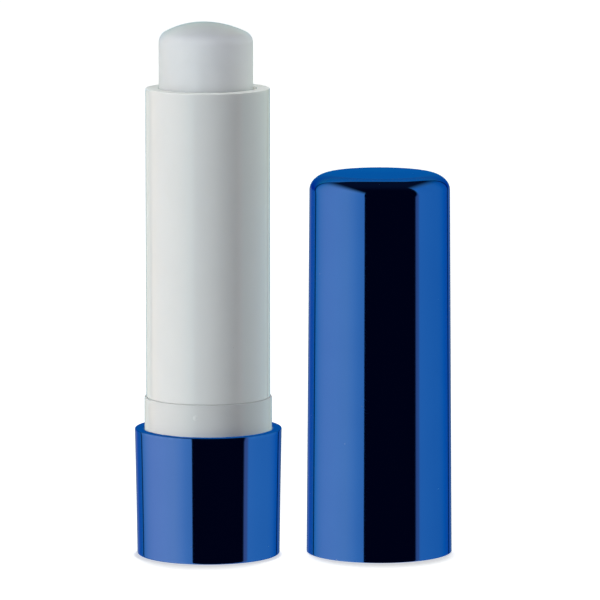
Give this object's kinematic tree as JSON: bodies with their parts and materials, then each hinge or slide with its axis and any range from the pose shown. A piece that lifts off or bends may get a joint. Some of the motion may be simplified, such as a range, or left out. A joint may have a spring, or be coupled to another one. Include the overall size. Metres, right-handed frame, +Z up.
{
  "type": "lip balm stick",
  "caption": "Twist-up lip balm stick standing on its turn base with the domed balm raised, and its tapered cap set down beside it, mouth down.",
  "frame": {"origin": "middle of the footprint of the stick and the cap, on the surface that they stand on", "axes": "+Z up along the stick, +X from the stick to the cap, -Y towards the viewer"},
  "size_m": [0.0416, 0.0206, 0.07],
  "materials": {
    "metallised_blue": "vacuum metallised plastic under a clear blue lacquer, mirror gloss",
    "barrel_white": "white moulded plastic, satin gloss",
    "inner_white": "natural white moulded plastic, matt",
    "balm_wax": "cast wax balm, soft sheen, slightly translucent"
  },
  "bodies": {
    "base": {"base_cup": "metallised_blue", "drive_screw": "inner_white"},
    "barrel": {"guide_tube": "barrel_white", "barrel_sleeve": "barrel_white"},
    "carrier": {"carrier": "inner_white", "balm": "balm_wax"},
    "cap": {"cap": "metallised_blue"}
  },
  "joints": [
    {"name": "barrel_turn", "type": "hinge", "parent": "base", "child": "barrel", "pos_m": [-0.01116, -0.00068, 0.0165], "axis": [0, 0, -1], "range_deg": [-1214, 3600]},
    {"name": "balm_lift", "type": "slide", "parent": "barrel", "child": "carrier", "axis": [0, 0, 1], "range_m": [-0.01013, 0.03001]},
    {"name": "cap_lift", "type": "slide", "parent": "base", "child": "cap", "axis": [0, 0, 1], "range_m": [0, 0.06]}
  ],
  "couplings": [
    {"joint": "balm_lift", "follows": "barrel_turn", "m_per_rad": 0.00047746}
  ]
}
